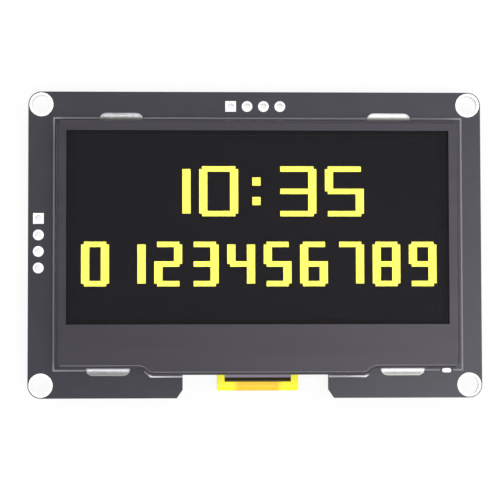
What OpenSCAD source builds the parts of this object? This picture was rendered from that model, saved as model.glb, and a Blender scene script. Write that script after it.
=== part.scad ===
// Small OLED display module: a glass panel in a folded steel bezel on a black circuit board.
// It lies flat with the display up. X runs along the long side, Y towards the top edge, Z up.
// The origin is under the board's centre, level with the lowest faces of the tallest parts on its back.

/* [Glass panel] */
// Width of the panel
panel_w = 60.5; // [50:0.1:80]
// Height of the panel's front glass
panel_h = 37; // [30:0.1:50]
// Height of the ledge of front glass that the rear glass leaves free
ledge_h = 4.5; // [3.9:0.1:6]
// Thickness of the front glass
glass_t = 0.7; // [0.5:0.05:1.1]
// Thickness of the rear glass
rear_glass_t = 0.7; // [0.5:0.05:1.1]
// Thickness of the seal between the two glasses
seal_t = 0.06; // [0.05:0.01:0.1]
// Width of the seal
seal_w = 0.9; // [0.6:0.1:1.2]
// Depth of the etched pocket in the rear glass
pocket_depth = 0.3; // [0.2:0.05:0.4]
// Thickness of the polarising film
film_t = 0.2; // [0.1:0.05:0.3]
// Thickness of the foam pad under the panel
foam_t = 1; // [0.8:0.1:1.4]

/* [Picture] */
// Distance from the panel's side edge to the field of dots
field_side = 2.745; // [2.4:0.005:4]
// Distance from the panel's top edge to the field of dots
field_top = 2.2; // [2:0.005:4]
// Distance from the panel's bottom edge to the field of dots
field_bottom = 7.31; // [6.5:0.005:9]
// Unlit gap between two dots
dot_gap = 0.03; // [0.01:0.01:0.05]

/* [Bezel] */
// Gap between the panel's side edges and the bezel
side_gap = 0.4; // [0.3:0.05:0.8]
// Gap between the panel's top and bottom edges and the bezel
end_gap = 0.2; // [0.15:0.05:0.6]
// Thickness of the sheet steel
sheet_t = 0.3; // [0.2:0.05:0.4]
// Outer radius of the bezel's bends
bend_r = 0.5; // [0.4:0.05:0.6]
// Distance from the field of dots to the window's left and right edges
window_side = 1.805; // [1:0.005:2]
// Distance from the field of dots to the window's top and bottom edges
window_end = 1.105; // [0.5:0.005:1.3]
// Distance by which the middle of the bottom wall steps out
step_out = 1; // [0.8:0.1:1.4]
// Length along the wall that a step takes
step_run = 2.3; // [2:0.1:4]
// Distance from the bezel's centre to the middle of a step
step_x = 17.15; // [14:0.05:19]
// Gap left at each corner between two walls
corner_gap = 0.15; // [0.05:0.05:0.5]

/* [Bezel tabs] */
// Width of a tab
tab_w = 5; // [3:0.1:6]
// Length of the tab that is folded under the board
tab_fold = 2.1; // [1.8:0.1:2.4]
// Distance from the bezel's centre to the tabs of the top wall
top_tab_x = 20.7; // [12:0.1:24]
// Distance from a step in the bottom wall to the tab beside it
bottom_tab_gap = 1.9; // [1.2:0.1:2.4]
// Room in a slot beyond each side of its tab
slot_end_gap = 0.7; // [0.5:0.05:1]
// Width of a slot in the board
slot_w = 1.8; // [1.6:0.1:2]
// Width of the tinned rim round a slot
slot_rim_w = 0.2; // [0.1:0.05:0.3]

/* [Board] */
// Distance from the board's centre to the display's centre
display_x = 0.3; // [0:0.05:0.3]
// Mean width of the board to the left and right of the bezel
side_margin = 4.05; // [3.5:0.05:6]
// Depth of the board above the bezel
top_margin = 4.7; // [4.2:0.1:7]
// Depth of the board below the bezel
bottom_margin = 4.6; // [4:0.1:7]
// Thickness of the board
board_t = 1.6; // [1.2:0.1:2]
// Radius of the board's outer corners
board_corner_r = 2; // [0.5:0.1:2.2]
// Thickness of the tinned copper on pads and in holes
plating_t = 0.05; // [0.03:0.01:0.1]

/* [Mounting holes] */
// Bore of a mounting hole
hole_d = 3; // [2.2:0.1:3.2]
// Width of the tinned ring round a mounting hole
hole_ring_w = 0.35; // [0.2:0.05:0.4]
// Distance from a ring to the board's edges
hole_edge = 0.15; // [0.05:0.05:0.4]

/* [Pin headers] */
// Number of pins in each header
header_pins = 4; // [4:1:7]
// Distance between header pins
header_pitch = 2.54; // [2:0.01:2.9]
// Bore of a header hole
header_drill = 1; // [0.8:0.05:1.1]
// Width of the ring of a header pad
header_ring_w = 0.325; // [0.25:0.005:0.4]
// Distance from the top header to the board's top edge
top_header_inset = 2.25; // [1.5:0.05:2.6]
// Distance from the side header to the board's left edge
side_header_inset = 1.6; // [1.3:0.05:1.9]
// Distance from the board's centre up to the side header's middle
side_header_y = 0.2; // [0:0.05:2]

/* [Notch for the flex] */
// Width of the notch in the board's bottom edge
notch_w = 22.5; // [18:0.1:26]
// Distance from the notch's inner edge to the panel's edge
notch_gap = 0.35; // [0.2:0.05:0.8]
// Width of the cut corners at the notch's mouth
notch_cut_x = 0.9; // [0.4:0.1:2]
// Height of the cut corners at the notch's mouth
notch_cut_y = 1.3; // [0.4:0.1:3]

/* [Flex tail] */
// Width of the flex tail beyond its outer fingers' lanes
flex_edge = 0.25; // [0.1:0.05:0.6]
// Thickness of the flex tail
flex_t = 0.12; // [0.08:0.01:0.16]
// Distance by which the flex tail stands out past the bezel
flex_reach = 2.45; // [1.9:0.05:2.6]
// Gap between the flex tail's mask and the bezel's wall above it
flex_gap = 0.12; // [0.08:0.01:0.2]
// Number of contact fingers
finger_count = 24; // [16:1:24]
// Distance between contact fingers
finger_pitch = 0.5; // [0.4:0.05:0.5]
// Length of a contact finger
finger_l = 2; // [1.5:0.1:3]

/* [Parts on the back] */
// Side of the square power inductor
coil_w = 4; // [3:0.1:5]
// Height of the power inductor
coil_h = 2; // [1.8:0.1:3]
// Thickness of the inductor's two flanges
coil_flange_t = 0.45; // [0.3:0.05:0.6]
// Diameter of the inductor's post
coil_post_d = 1.8; // [1.4:0.1:2.2]
// Diameter of the inductor's winding
coil_winding_d = 3.4; // [2.8:0.1:3.8]
// Length of the moulded bulk capacitors
bulk_l = 3.5; // [3.2:0.1:4]
// Width of the bulk capacitors
bulk_w = 2.8; // [2.4:0.1:3.2]
// Height of the bulk capacitors
bulk_h = 2; // [1.6:0.1:2.2]
// Distance from the board's centre to each bulk capacitor
bulk_x = 14.5; // [13:0.5:18]
// Width of the boost converter chip's body
boost_w = 1.6; // [1.3:0.1:1.8]
// Width of the regulator's body
regulator_w = 1.3; // [1.2:0.1:1.6]
// Length of both chips' bodies
chip_l = 2.9; // [2.6:0.1:3.1]
// Height of both chips' bodies
chip_h = 1; // [0.8:0.05:1.3]
// Length of the diode's body
diode_l = 2.7; // [2.4:0.1:3]
// Thickness of solder between a part and the board
solder_t = 0.05; // [0.03:0.01:0.08]

/* [Hidden] */
$fn = 48;
cut = 0.5; // how far a cutting shape runs past the face that it cuts
columns = 128;
rows = 64;

// Levels, from the lowest face up
z_back = max(coil_h, bulk_h) + solder_t;
z_top = z_back + board_t;
z_rear_glass = z_top + foam_t;
z_seal = z_rear_glass + rear_glass_t;
z_glass = z_seal + seal_t;
z_film = z_glass + glass_t;
z_face = z_film + film_t;
z_front = z_face + sheet_t;
z_bezel = z_top + plating_t; // the bezel's walls stand on the slots' tinned rims

// Outlines, from the panel outwards
active_w = panel_w - 2 * field_side;
active_h = panel_h - field_top - field_bottom;
window_w = active_w + 2 * window_side;
window_h = active_h + 2 * window_end;
bezel_w = panel_w + 2 * (side_gap + sheet_t);
bezel_h = panel_h + 2 * (end_gap + sheet_t);
board_w = bezel_w + 2 * side_margin;
board_h = bezel_h + top_margin + bottom_margin;

// Places in the board's plane, whose origin is the board's centre
bezel_top = board_h / 2 - top_margin;
bezel_bottom = bottom_margin - board_h / 2;
bezel_foot = bezel_bottom - step_out;
panel_top = bezel_top - sheet_t - end_gap;
panel_bottom = panel_top - panel_h;
rear_glass_h = panel_h - ledge_h;
rear_glass_bottom = panel_top - rear_glass_h;
window_y = panel_top - field_top - active_h / 2;
pitch_x = (active_w + dot_gap) / columns;
pitch_y = (active_h + dot_gap) / rows;
film_lap = 0.4; // how far the film reaches under the bezel's face
film_w = window_w + 2 * film_lap;
film_h = window_h + 2 * film_lap;
flex_w = finger_count * finger_pitch + 2 * flex_edge;

// ---- Shared shapes ----

// Places its children on the board's back, upside down, turned by a.
module on_back(x, y, a = 0) {
    translate([x, y, z_back]) rotate([180, 0, a]) translate([0, 0, solder_t]) children();
}

// A box centred on X and Y, standing on Z = 0.
module slab(x, y, z) {
    translate([-x / 2, -y / 2, 0]) cube([x, y, z]);
}

// A flat outline with round ends, l long and w wide.
module stadium(l, w) {
    square([l - w, w], center = true);
    for (s = [-1, 1]) translate([s * (l - w) / 2, 0]) circle(d = w);
}

// A strip bent along a chain of steps [straight length, bend radius, bend angle].
// It starts at the origin, runs along +X, bends towards +Y for a positive angle, and is w wide in Z.
module bent_strip(steps, t, w, i = 0) {
    if (i < len(steps)) {
        run = steps[i][0];
        r = steps[i][1];
        a = steps[i][2];
        side = a < 0 ? -1 : 1;
        translate([0, -t / 2, 0]) cube([run, t, w]);
        if (a != 0)
            translate([run, side * r, 0]) rotate([0, 0, a > 0 ? -90 : 90 + a])
                rotate_extrude(angle = abs(a)) translate([r - t / 2, 0]) square([t, w]);
        translate([run, side * r, 0]) rotate([0, 0, a]) translate([0, -side * r, 0])
            bent_strip(steps, t, w, i + 1);
    }
}

// ---- Board ----

hole_inset = hole_d / 2 + hole_ring_w + hole_edge;
hole_x = board_w / 2 - hole_inset;
hole_y = board_h / 2 - hole_inset;
header_pad_d = header_drill + 2 * header_ring_w;
slot_l = tab_w + 2 * slot_end_gap;
step_start = step_x - step_run / 2;
step_end = step_x + step_run / 2;
bottom_tab_x = step_end + bottom_tab_gap + tab_w / 2;
top_header_y = board_h / 2 - top_header_inset;
side_header_x = side_header_inset - board_w / 2;
// How far a slot's middle lies outside the middle of the bezel's wall
top_slot_shift = 0.45;
bottom_slot_shift = 0.2;
top_slot_y = bezel_top - sheet_t / 2 + top_slot_shift;
bottom_slot_y = bezel_bottom + sheet_t / 2 - bottom_slot_shift;
notch_top = panel_bottom + notch_gap;

// The slots lie evenly about the board's centre, with their outward sides towards +Y for the children.
module at_top_slots() {
    for (s = [-1, 1]) translate([s * top_tab_x, top_slot_y, 0]) children();
}

module at_bottom_slots() {
    for (s = [-1, 1]) translate([s * bottom_tab_x, bottom_slot_y, 0]) rotate([0, 0, 180]) children();
}

module at_slots() {
    at_top_slots() children();
    at_bottom_slots() children();
}

module at_mounting_holes() {
    for (sx = [-1, 1], sy = [-1, 1]) translate([sx * hole_x, sy * hole_y, 0]) children();
}

// Position of pin i along its header, counted from the middle.
function pin_at(i) = (i - (header_pins - 1) / 2) * header_pitch;

module board_outline() {
    difference() {
        union() {
            square([board_w, board_h - 2 * board_corner_r], center = true);
            square([board_w - 2 * board_corner_r, board_h], center = true);
            for (sx = [-1, 1], sy = [-1, 1])
                translate([sx * (board_w / 2 - board_corner_r), sy * (board_h / 2 - board_corner_r)])
                    circle(r = board_corner_r);
        }
        polygon([
            [-notch_w / 2, notch_top], [notch_w / 2, notch_top],
            [notch_w / 2, notch_cut_y - board_h / 2], [notch_w / 2 + notch_cut_x, -board_h / 2],
            [notch_w / 2 + notch_cut_x, -board_h / 2 - cut], [-notch_w / 2 - notch_cut_x, -board_h / 2 - cut],
            [-notch_w / 2 - notch_cut_x, -board_h / 2], [-notch_w / 2, notch_cut_y - board_h / 2]
        ]);
    }
}

module circuit_board() {
    color([0.06, 0.06, 0.07])
        translate([0, 0, z_back]) difference() {
            linear_extrude(board_t) board_outline();
            translate([0, 0, -cut]) {
                at_mounting_holes() cylinder(d = hole_d + 2 * plating_t, h = board_t + 2 * cut);
                for (i = [0:header_pins - 1]) {
                    translate([pin_at(i), top_header_y, 0])
                        cylinder(d = header_drill + 2 * plating_t, h = board_t + 2 * cut);
                    translate([side_header_x, side_header_y - pin_at(i), 0])
                        cylinder(d = header_drill + 2 * plating_t, h = board_t + 2 * cut);
                }
                at_slots() linear_extrude(board_t + 2 * cut)
                    stadium(slot_l + 2 * plating_t, slot_w + 2 * plating_t);
            }
        }
}

// A tinned barrel with a flat ring on each face of the board.
module plated_hole(bore, ring) {
    rotate_extrude() polygon([
        [bore / 2, -plating_t], [ring / 2, -plating_t], [ring / 2, 0], [bore / 2 + plating_t, 0],
        [bore / 2 + plating_t, board_t], [ring / 2, board_t],
        [ring / 2, board_t + plating_t], [bore / 2, board_t + plating_t]
    ]);
}

// The same barrel with square pads, which mark pin 1.
module plated_square_hole(bore, pad) {
    difference() {
        union() {
            cylinder(d = bore + 2 * plating_t, h = board_t);
            translate([0, 0, board_t]) slab(pad, pad, plating_t);
            translate([0, 0, -plating_t]) slab(pad, pad, plating_t);
        }
        translate([0, 0, -plating_t - cut]) cylinder(d = bore, h = board_t + 2 * plating_t + 2 * cut);
    }
}

module header_pad(i) {
    if (i == 0) plated_square_hole(header_drill, header_pad_d);
    else plated_hole(header_drill, header_pad_d);
}

module mounting_rings() {
    color("silver") translate([0, 0, z_back]) at_mounting_holes()
        plated_hole(hole_d, hole_d + 2 * hole_ring_w);
}

module top_header_pads() {
    color("silver") translate([0, top_header_y, z_back])
        for (i = [0:header_pins - 1]) translate([pin_at(i), 0, 0]) header_pad(i);
}

module side_header_pads() {
    color("silver") translate([side_header_x, side_header_y, z_back])
        for (i = [0:header_pins - 1]) translate([0, -pin_at(i), 0]) header_pad(i);
}

module slot_rims() {
    rim_l = slot_l + 2 * slot_rim_w;
    rim_w = slot_w + 2 * slot_rim_w;
    color("silver") translate([0, 0, z_back]) at_slots()
        difference() {
            union() {
                linear_extrude(board_t) stadium(slot_l + 2 * plating_t, slot_w + 2 * plating_t);
                translate([0, 0, board_t]) linear_extrude(plating_t) stadium(rim_l, rim_w);
                translate([0, 0, -plating_t]) linear_extrude(plating_t) stadium(rim_l, rim_w);
            }
            translate([0, 0, -plating_t - cut])
                linear_extrude(board_t + 2 * plating_t + 2 * cut) stadium(slot_l, slot_w);
        }
}

// ---- Bezel ----

bezel_rise = z_front - z_bezel;
step_angle = 2 * atan(step_out / step_run);
step_r = step_run / (2 * sin(step_angle));

// Section through a wall and its bend: X is the distance inwards from the wall's outer face, Y the height.
section_lap = 0.3; // how far the section runs into the face behind its bend
module wall_section() {
    square([sheet_t, bezel_rise - bend_r]);
    translate([bend_r, bezel_rise - sheet_t]) square([section_lap, sheet_t]);
    translate([bend_r, bezel_rise - bend_r]) intersection() {
        difference() {
            circle(r = bend_r);
            circle(r = bend_r - sheet_t);
        }
        translate([-bend_r, 0]) square(bend_r);
    }
}

// A straight wall of length l along X, with its outer face on the X axis and its inner side towards +Y.
module straight_wall(l) {
    rotate([90, 0, 90]) linear_extrude(l) wall_section();
}

// The step of the bottom wall on the right side: one arc out of the middle, one arc back along the side.
module wall_step() {
    translate([step_start, bezel_foot + step_r, 0]) rotate([0, 0, -90])
        rotate_extrude(angle = step_angle) translate([step_r, 0]) mirror([1, 0]) wall_section();
    translate([step_end, bezel_bottom - step_r, 0]) rotate([0, 0, 90])
        rotate_extrude(angle = step_angle) translate([step_r, 0]) wall_section();
}

// Outline of the bezel's flat face, which ends where the bends begin.
module face_outline() {
    inner_w = bezel_w - 2 * bend_r;
    translate([-inner_w / 2, bezel_bottom + bend_r]) square([inner_w, bezel_h - 2 * bend_r]);
    translate([-step_start, bezel_foot + bend_r]) square([2 * step_start, step_r]);
    for (s = [0, 1]) mirror([s, 0]) {
        translate([step_start, bezel_foot + step_r]) circle(r = step_r - bend_r);
        difference() {
            polygon([
                [step_start, bezel_foot + step_r], [step_end, bezel_bottom - step_r],
                [step_end, bezel_bottom + step_r], [step_start, bezel_bottom + step_r]
            ]);
            translate([step_end, bezel_bottom - step_r]) circle(r = step_r + bend_r);
        }
    }
}

// One tab, below a wall whose outer face is on the X axis and faces -Y. It folds outwards under the board.
tab_bend_r = sheet_t;
tab_root = 0.5; // how far a tab runs up into its wall
module tab() {
    drop = board_t + 2 * plating_t - (tab_bend_r - sheet_t / 2);
    translate([tab_w / 2, sheet_t / 2, tab_root]) rotate([0, 90, 180])
        bent_strip([[tab_root + drop, tab_bend_r, 90], [tab_fold - tab_bend_r - sheet_t / 2, 0, 0]], sheet_t, tab_w);
}

// Calls its children at each tab, in the frame that tab() uses.
module at_tabs() {
    for (s = [-1, 1]) {
        translate([s * top_tab_x, bezel_top, z_bezel]) rotate([0, 0, 180]) children();
        translate([s * bottom_tab_x, bezel_bottom, z_bezel]) children();
    }
}

module bezel() {
    corner = bend_r + corner_gap;
    side_l = bezel_h - 2 * corner;
    shoulder = bezel_w / 2 - corner - step_end;
    color([0.12, 0.12, 0.13]) {
        translate([0, 0, z_front - sheet_t]) linear_extrude(sheet_t) difference() {
            face_outline();
            translate([-window_w / 2, window_y - window_h / 2]) square([window_w, window_h]);
        }
        translate([0, 0, z_bezel]) {
            translate([bezel_w / 2 - corner, bezel_top, 0]) rotate([0, 0, 180])
                straight_wall(bezel_w - 2 * corner);
            translate([-bezel_w / 2, bezel_top - corner, 0]) rotate([0, 0, -90]) straight_wall(side_l);
            translate([bezel_w / 2, bezel_bottom + corner, 0]) rotate([0, 0, 90]) straight_wall(side_l);
            translate([-step_start, bezel_foot, 0]) straight_wall(2 * step_start);
            for (s = [0, 1]) mirror([s, 0, 0]) {
                wall_step();
                translate([step_end, bezel_bottom, 0]) straight_wall(shoulder);
            }
        }
        at_tabs() tab();
    }
}

// Solder that fills a slot from its tab's outer face outwards, with a slightly hollow surface.
fill_lip = 0.05; // width of the flat edge beside the hollow
module slot_fill(shift) {
    start = sheet_t / 2 - shift;
    fill_w = slot_w / 2 - start;
    fill_z = tab_bend_r - sheet_t / 2 - plating_t;
    hollow_r = 1.5 * fill_w;
    hollow_z = board_t + plating_t + sqrt(hollow_r ^ 2 - (fill_w / 2 - fill_lip) ^ 2);
    difference() {
        translate([0, 0, fill_z]) linear_extrude(board_t + plating_t - fill_z) intersection() {
            stadium(slot_l, slot_w);
            translate([-slot_l / 2, start]) square([slot_l, fill_w]);
        }
        translate([-slot_l / 2 - cut, start + fill_w / 2, hollow_z])
            rotate([0, 90, 0]) cylinder(r = hollow_r, h = slot_l + 2 * cut, $fn = 96);
    }
}

module tab_solder() {
    color("gainsboro") translate([0, 0, z_back]) {
        at_top_slots() slot_fill(top_slot_shift);
        at_bottom_slots() slot_fill(bottom_slot_shift);
    }
}

// ---- Glass panel ----

dots_t = 0.02; // thickness of the lit dots
layer_t = 0.02; // thickness of the dark layer behind the dots
layer_lap = 0.3; // how far the dark layer runs past the field of dots
pocket_lap = 0.5; // how far the pocket runs past the field of dots
desiccant_inset = 2; // distance from the field's edge in to the desiccant
desiccant_t = 0.18;
foam_inset = 3; // distance from the panel's edges in to the foam

// A pane as wide as the panel, from the panel's top edge down, h high and t thick.
module pane(h, t) {
    translate([-panel_w / 2, panel_top - h, 0]) cube([panel_w, h, t]);
}

module front_glass() {
    color([0.55, 0.6, 0.66, 0.25]) translate([0, 0, z_glass]) pane(panel_h, glass_t);
}

module polariser() {
    color([0.2, 0.19, 0.22, 0.4]) translate([0, window_y, z_film]) slab(film_w, film_h, film_t);
}

module rear_glass() {
    color([0.5, 0.55, 0.6, 0.5]) difference() {
        translate([0, 0, z_rear_glass]) pane(rear_glass_h, rear_glass_t);
        translate([0, window_y, z_seal - pocket_depth]) 
            slab(active_w + 2 * pocket_lap, active_h + 2 * pocket_lap, pocket_depth + cut);
    }
}

module edge_seal() {
    color("dimgray") difference() {
        translate([0, 0, z_seal]) pane(rear_glass_h, seal_t);
        translate([seal_w - panel_w / 2, rear_glass_bottom + seal_w, z_seal - cut])
            cube([panel_w - 2 * seal_w, rear_glass_h - 2 * seal_w, seal_t + 2 * cut]);
    }
}

module desiccant() {
    color("whitesmoke") translate([0, window_y, z_seal - pocket_depth])
        slab(active_w - 2 * desiccant_inset, active_h - 2 * desiccant_inset, desiccant_t);
}

module pixel_layer() {
    color([0.1, 0.1, 0.11]) translate([0, window_y, z_glass - dots_t - layer_t])
        slab(active_w + 2 * layer_lap, active_h + 2 * layer_lap, layer_t);
}

// Segments of a digit: top, upper right, lower right, bottom, lower left, upper left, middle.
SEGMENTS = [
    [1, 1, 1, 1, 1, 1, 0], [0, 1, 1, 0, 0, 0, 0], [1, 1, 0, 1, 1, 0, 1], [1, 1, 1, 1, 0, 0, 1],
    [0, 1, 1, 0, 0, 1, 1], [1, 0, 1, 1, 0, 1, 1], [1, 0, 1, 1, 1, 1, 1], [1, 1, 1, 0, 0, 0, 0],
    [1, 1, 1, 1, 1, 1, 1], [1, 1, 1, 1, 0, 1, 1]
];

// A block of lit dots, counted from the picture's top left corner.
module dots(column, row, w, h) {
    translate([column * pitch_x - active_w / 2, window_y + active_h / 2 + dot_gap - (row + h) * pitch_y])
        square([w * pitch_x - dot_gap, h * pitch_y - dot_gap]);
}

// Digit n in a block of w by h dots.
upright_w = 3; // dots
bar_h = 2; // dots
module digit(n, column, row, w, h) {
    on = SEGMENTS[n];
    mid = h / 2;
    right = column + w - upright_w;
    if (on[0]) dots(column + 1, row, w - 2, bar_h);
    if (on[1]) dots(right, row + 1, upright_w, mid - 1);
    if (on[2]) dots(right, row + mid - 1, upright_w, mid);
    if (on[3]) dots(column + 1, row + h - bar_h, w - 2, bar_h);
    if (on[4]) dots(column, row + mid - 1, upright_w, mid);
    if (on[5]) dots(column, row + 1, upright_w, mid - 1);
    if (on[6]) dots(column + 1, row + mid - 1, w - 2, bar_h);
}

// Upper row: four tall digits with a colon. Lower row: the ten digits across the full width.
TALL = [14, 18]; // columns and rows of a tall digit
UPPER = [[1, 26], [0, 43], [3, 71], [5, 88]]; // digit and first column
upper_row = 10;
colon_column = 62;
PLAIN = [10, 16]; // columns and rows of a plain digit
plain_pitch = 13; // columns from one plain digit to the next
lower_row = 37;
module lit_dots() {
    color([1, 0.95, 0.3]) translate([0, 0, z_glass - dots_t]) linear_extrude(dots_t) {
        for (d = UPPER) digit(d[0], d[1], upper_row, TALL[0], TALL[1]);
        for (row = [4, 11]) dots(colon_column, upper_row + row, upright_w, upright_w);
        for (n = [0:9]) digit(n, 1 + plain_pitch * n, lower_row, PLAIN[0], PLAIN[1]);
    }
}

module foam_pad() {
    color([0.2, 0.2, 0.2]) translate([0, (panel_top + rear_glass_bottom) / 2, z_top])
        slab(panel_w - 2 * foam_inset, rear_glass_h - 2 * foam_inset, foam_t);
}

// ---- Driver chip and flex tail ----

bond_t = 0.02; // thickness of the bond between the glass and the flex
bond_l = 1.5; // how far the flex laps over the glass
finger_t = 0.03; // thickness of a contact finger
copper_t = 0.02; // thickness of the copper field on the outside of the flex
mask_t = 0.04; // thickness of the black mask on the flex
traces_inset = 1.15; // distance from the flex's sides to the copper field
traces_w = flex_w - 2 * traces_inset;
mask_l = 0.8; // length of the mask that shows past the bezel
bend_lead = 0.2; // distance from the glass's edge to the flex's first bend
ledge_gap = 0.25; // distance from the flex's end on the glass to the glass's bottom edge
flex_bend_r = 0.5;
flex_start = panel_bottom + ledge_gap + bond_l;
flex_high = z_glass - bond_t - flex_t / 2;
flex_low = z_back - plating_t - finger_t - flex_t / 2;
flex_mid = z_bezel - flex_gap - mask_t - flex_t / 2;
flex_fold_r = (flex_mid - flex_low) / 2;
flex_bend_y = panel_bottom - bend_lead;
flex_shelf_y = flex_bend_y - 2 * flex_bend_r;
flex_fold_y = bezel_foot - flex_reach + flex_t / 2 + flex_fold_r;
pad_edge = 0.3; // distance from the notch's edge to the flex's pads
pad_extra = 0.5; // how far the board's pads run past the fingers
finger_w = 0.6 * finger_pitch;
pad_bottom = notch_top + pad_edge;
pad_top = pad_bottom + finger_l;

// Places a strip that starts at [y, z], runs towards -Y and is w wide about the middle.
module flex_frame(y, z, w) {
    translate([w / 2, y, z]) rotate([90, 0, -90]) children();
}

module driver_chip() {
    chip_t = 0.3;
    color([0.16, 0.16, 0.18]) translate([0, (rear_glass_bottom + flex_start) / 2, z_glass - chip_t])
        slab(flex_w + 1, 1.1, chip_t);
}

module bond_strip() {
    color([0.75, 0.68, 0.5]) translate([-flex_w / 2, flex_start - bond_l, z_glass - bond_t])
        cube([flex_w, bond_l, bond_t]);
}

module flex_tail() {
    color([0.95, 0.7, 0.15]) flex_frame(flex_start, flex_high, flex_w) bent_strip([
        [flex_start - flex_bend_y, flex_bend_r, -90],
        [flex_high - flex_mid - 2 * flex_bend_r, flex_bend_r, 90],
        [flex_shelf_y - flex_fold_y, flex_fold_r, -180],
        [pad_top - flex_fold_y, 0, 0]
    ], flex_t, flex_w);
}

// Black mask across the shelf, beside the bezel's wall.
mask_end = bezel_foot - mask_l;
module flex_mask() {
    color([0.08, 0.06, 0.04]) translate([0, (flex_shelf_y + mask_end) / 2, flex_mid + flex_t / 2])
        slab(traces_w, flex_shelf_y - mask_end, mask_t);
}

// Copper field that shows through the outside of the flex, round the fold.
module flex_copper() {
    skin = (flex_t + copper_t) / 2;
    color([0.85, 0.5, 0.12]) flex_frame(mask_end, flex_mid + skin, traces_w) bent_strip([
        [mask_end - flex_fold_y, flex_fold_r + skin, -180],
        [notch_top - flex_fold_y, 0, 0]
    ], copper_t, traces_w);
}

module at_fingers() {
    for (i = [0:finger_count - 1]) translate([(i - (finger_count - 1) / 2) * finger_pitch, 0, 0]) children();
}

module flex_fingers() {
    color([0.8, 0.6, 0.35]) translate([0, pad_bottom, z_back - plating_t - finger_t]) at_fingers()
        translate([-finger_w / 2, 0, 0]) cube([finger_w, finger_l, finger_t]);
}

module flex_pads() {
    color("silver") translate([0, pad_bottom, z_back - plating_t]) at_fingers()
        translate([-finger_w / 2, 0, 0]) cube([finger_w, finger_l + pad_extra, plating_t]);
}

// ---- Parts on the board's back ----

// Chip parts: length, width, height and length of each end.
SMALL_CAPACITOR = [1.6, 0.8, 0.8, 0.3];
LARGE_CAPACITOR = [2, 1.25, 1.1, 0.4];
RESISTOR = [1.6, 0.8, 0.45, 0.3];
skin_t = 0.02; // thickness of the metal that wraps a chip part's ends
coat_t = 0.03; // thickness of a resistor's black coat
chip_lift = 0.1; // gap under a moulded body
terminal_t = 0.1; // thickness of the inductor's and the bulk capacitors' terminals
lead_t = 0.12;
lead_r = 0.15;
lead_foot = 0.3;
lead_out = 0.12; // straight length of a lead beside the body
lead_w = 0.4;
diode_w = 1.6;
diode_lead_w = 0.6;
lead_pitch = 0.95;
pad_margin = 0.15; // how far a soldered pad shows past its terminal
print_t = 0.02;
print_w = 0.15;
print_gap = 0.3; // gap between a part and its printed outline

// Rows of parts. The power parts stand in one row beside the inductor, the others near the flex.
row_drop = 9.8; // distance from the bezel's top edge down to the row
row_y = bezel_top - row_drop;
lead_span = lead_out + 2 * lead_r + lead_foot;
diode_x = -(coil_w / 2 + 1.2 + diode_l / 2 + lead_span);
boost_x = coil_w / 2 + 2.4 + boost_w / 2 + lead_span;
boost_capacitor_x = boost_x + boost_w / 2 + lead_span + 2.2;
regulator_x = boost_capacitor_x + 2.2 + regulator_w / 2 + lead_span;
bulk_y = notch_top + 6.5;
small_y = pad_top + pad_extra + 2.7;
small_pitch = 2.2;
SMALL_CAPACITORS = [for (i = [0:5]) [(i - 2.5) * small_pitch, small_y]];
LARGE_CAPACITORS = [
    [diode_x - diode_l / 2 - lead_span - 2, row_y], [boost_capacitor_x, row_y],
    [regulator_x + regulator_w / 2 + lead_span + 2.2, row_y], [-bulk_x - bulk_l / 2 - 2.6, bulk_y]
];
resistor_pitch = [3, 3.6];
resistor_x = 8.45; // distance from the side header to the first column of resistors
RESISTORS = [for (i = [0:3]) for (j = [0:1])
    [side_header_x + resistor_x + j * resistor_pitch[0], (1.5 - i) * resistor_pitch[1]]];

// A moulded body: a block whose sides slope away from a parting line at half its height.
module moulded(x, y, z) {
    slope = 0.08;
    intersection() {
        translate([0, y / 2, 0]) rotate([90, 0, 0]) linear_extrude(y) polygon([
            [-x / 2 + slope, 0], [x / 2 - slope, 0], [x / 2, z / 2], [x / 2 - slope, z],
            [-x / 2 + slope, z], [-x / 2, z / 2]
        ]);
        translate([-x / 2, 0, 0]) rotate([90, 0, 90]) linear_extrude(x) polygon([
            [-y / 2 + slope, 0], [y / 2 - slope, 0], [y / 2, z / 2], [y / 2 - slope, z],
            [-y / 2 + slope, z], [-y / 2, z / 2]
        ]);
    }
}

// Gull-wing lead, w wide: leaves a body at height z0 along +X and ends in a foot on Z = 0.
module gull_lead(z0, w) {
    translate([0, w / 2, z0]) rotate([90, 0, 0]) bent_strip([
        [lead_out, lead_r, -90], [z0 - 2 * lead_r - lead_t / 2, lead_r, 90], [lead_foot, 0, 0]
    ], lead_t, w);
}

// Leads of a moulded body, body_x wide: a list of Y positions for each side.
module gull_leads(body_x, right, left, body_z, w) {
    for (y = right) translate([body_x / 2, y, 0]) gull_lead(chip_lift + body_z / 2, w);
    for (y = left) translate([-body_x / 2, y, 0]) rotate([0, 0, 180]) gull_lead(chip_lift + body_z / 2, w);
}

// Pads with solder under those leads.
module lead_pads(body_x, right, left, w) {
    for (side = [[1, right], [-1, left]], y = side[1])
        translate([side[0] * (body_x / 2 + lead_span - lead_foot / 2), y, -solder_t])
            slab(lead_foot + 2 * pad_margin, w + pad_margin, solder_t);
}

module inductor_core() {
    flange_r = 0.6; // radius of the flanges' corners
    a = coil_w / 2 - flange_r;
    color([0.25, 0.25, 0.26]) on_back(0, row_y) {
        for (z = [terminal_t, coil_h - coil_flange_t]) translate([0, 0, z]) linear_extrude(coil_flange_t) {
            square([coil_w, 2 * a], center = true);
            square([2 * a, coil_w], center = true);
            for (x = [-a, a], y = [-a, a]) translate([x, y]) circle(r = flange_r);
        }
        translate([0, 0, terminal_t]) cylinder(d = coil_post_d, h = coil_h - terminal_t);
    }
}

module inductor_winding() {
    winding_h = coil_h - terminal_t - 2 * coil_flange_t;
    color([0.72, 0.4, 0.2]) on_back(0, row_y) translate([0, 0, terminal_t + coil_flange_t]) difference() {
        cylinder(d = coil_winding_d, h = winding_h);
        translate([0, 0, -cut]) cylinder(d = coil_post_d, h = winding_h + 2 * cut);
    }
}

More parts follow.
